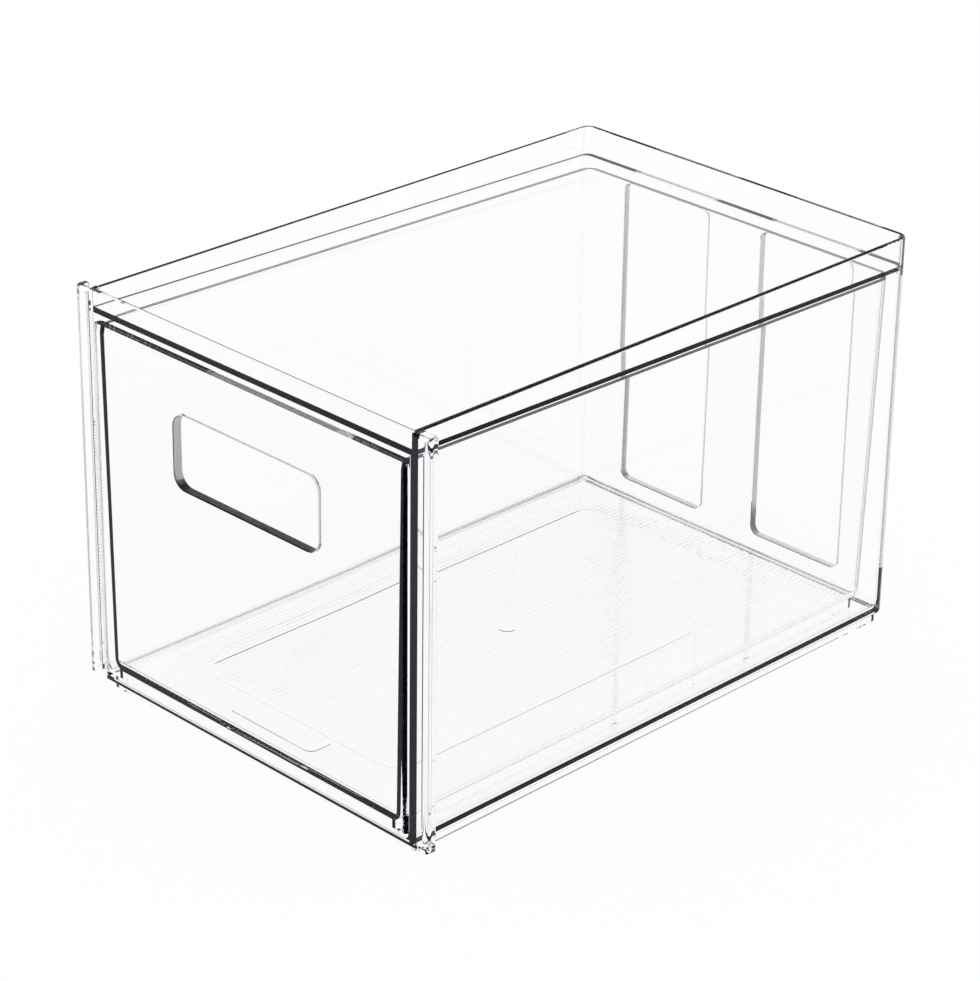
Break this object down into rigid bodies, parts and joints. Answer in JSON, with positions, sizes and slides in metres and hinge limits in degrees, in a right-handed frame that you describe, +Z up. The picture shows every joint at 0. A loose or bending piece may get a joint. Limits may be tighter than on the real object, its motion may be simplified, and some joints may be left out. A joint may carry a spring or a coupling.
{
  "type": "drawer organizer box",
  "caption": "Clear stacking storage box, open at the front, with one pull-out drawer that has a hand hole in its thick front panel.",
  "frame": {"origin": "middle of the footprint, at the bottom of the base skirt", "axes": "+X to the right, +Y from the open front to the back, +Z up; the drawer pulls out along -Y"},
  "size_m": [0.218, 0.306, 0.1925],
  "materials": {
    "clear_case": "clear moulded polystyrene, polished",
    "clear_drawer": "clear moulded polystyrene, polished, with a finely ribbed floor"
  },
  "bodies": {
    "case": {"case": "clear_case"},
    "drawer": {"drawer": "clear_drawer"}
  },
  "joints": [
    {"name": "drawer_slide", "type": "slide", "parent": "case", "child": "drawer", "axis": [0, -1, 0], "range_m": [0, 0.275]}
  ]
}
